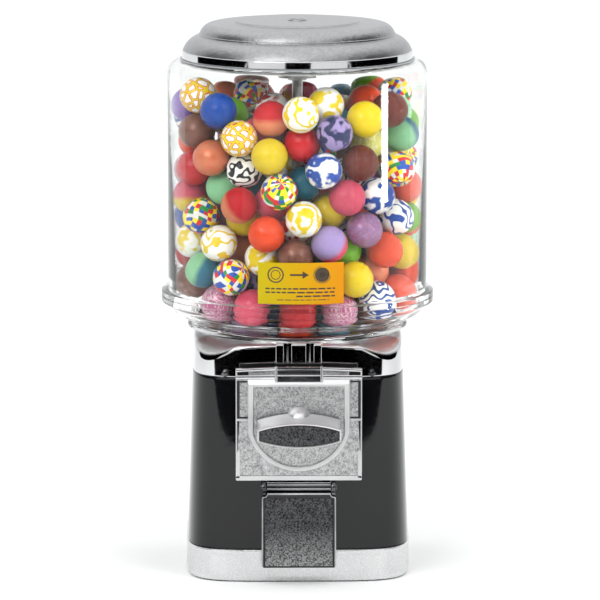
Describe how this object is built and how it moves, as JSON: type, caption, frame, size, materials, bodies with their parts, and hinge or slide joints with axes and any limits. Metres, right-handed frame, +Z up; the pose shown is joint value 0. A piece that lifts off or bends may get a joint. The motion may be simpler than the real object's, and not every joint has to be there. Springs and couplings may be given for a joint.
{
  "type": "gumball machine",
  "caption": "Countertop coin-operated ball vending machine: clear globe of bouncy balls on a black body, chrome base and coin mechanism, turning handle, dispensing flap and lockable lid.",
  "frame": {"origin": "middle of the footprint, on the plane that the rubber feet rest on", "axes": "+Z up along the centre rod, -Y towards the customer (handle and flap side), +X to the customer's right"},
  "size_m": [0.2032, 0.2236, 0.4091],
  "materials": {
    "chrome_casting": "satin chrome plate with soft highlights",
    "speckled_chrome": "pale chrome over a fine speckled casting",
    "dark_chrome": "dark speckled chrome casting",
    "black_paint": "gloss black enamel",
    "lid_metal": "satin cast metal with a polished rim",
    "zinc_steel": "zinc plated steel",
    "cast_zinc": "plain zinc casting",
    "brass_carrier": "plain brass",
    "moulded_plastic": "off-white moulded plastic",
    "bristle": "dark nylon bristle",
    "clear_globe": "clear polycarbonate",
    "grey_seal": "grey sealing ring",
    "ball_rubber": "solid bouncing rubber in many colours and patterns",
    "label_paper": "yellow to orange printed label",
    "rubber_pad": "black rubber pad"
  },
  "bodies": {
    "cabinet": {"base": "chrome_casting", "rubber_feet": "rubber_pad", "base_plate": "zinc_steel", "body_shell": "black_paint", "top_collar": "chrome_casting", "collar_screws": "chrome_casting", "wheel_tray": "moulded_plastic", "brush_housing": "zinc_steel", "brush_strips": "bristle", "globe": "clear_globe", "globe_seal": "grey_seal", "bouncy_balls": "ball_rubber", "price_label": "label_paper", "centre_rod": "zinc_steel", "rod_nuts": "zinc_steel", "rod_keeper": "zinc_steel", "mech_plate": "speckled_chrome", "mech_housing": "cast_zinc", "mech_screws": "zinc_steel", "pawl_pin": "zinc_steel", "pawl_spring": "zinc_steel", "ball_chute": "moulded_plastic", "coin_deflector": "zinc_steel", "cash_tray": "zinc_steel", "chute_frame": "chrome_casting", "hinge_pin": "zinc_steel"},
    "lid": {"lid": "lid_metal"},
    "lock": {"lock_barrel": "lid_metal", "lock_cam": "zinc_steel"},
    "handle": {"handle_grip": "dark_chrome", "handle_disc": "dark_chrome", "handle_shaft": "zinc_steel", "coin_carrier": "brass_carrier", "ratchet_wheel": "zinc_steel", "drive_pinion": "brass_carrier", "shaft_clip": "zinc_steel"},
    "wheel": {"ball_wheel": "moulded_plastic", "wheel_gear": "moulded_plastic"},
    "ratchet_pawl": {"pawl": "zinc_steel"},
    "flap": {"chute_flap": "dark_chrome"}
  },
  "joints": [
    {"name": "lid_lift", "type": "slide", "parent": "cabinet", "child": "lid", "axis": [0, 0, 1], "range_m": [0, 0.06]},
    {"name": "lock_turn", "type": "hinge", "parent": "lid", "child": "lock", "pos_m": [0, 0, 0.4], "axis": [0, 0, 1], "range_deg": [0, 90]},
    {"name": "handle_turn", "type": "hinge", "parent": "cabinet", "child": "handle", "pos_m": [0, -0.092, 0.1238], "axis": [0, 1, 0], "continuous": true},
    {"name": "wheel_turn", "type": "hinge", "parent": "cabinet", "child": "wheel", "pos_m": [0, 0, 0.15], "axis": [0, 0, 1], "continuous": true},
    {"name": "pawl_rock", "type": "hinge", "parent": "cabinet", "child": "ratchet_pawl", "pos_m": [0.03, -0.0727, 0.131], "axis": [0, -1, 0], "range_deg": [0, 12], "stiffness_Nm_per_rad": 0.02, "springref_deg": -5.73},
    {"name": "flap_swing", "type": "hinge", "parent": "cabinet", "child": "flap", "pos_m": [0, -0.091, 0.0731], "axis": [-1, 0, 0], "range_deg": [0, 80]}
  ],
  "couplings": [
    {"joint": "wheel_turn", "follows": "handle_turn", "ratio": 0.25}
  ]
}
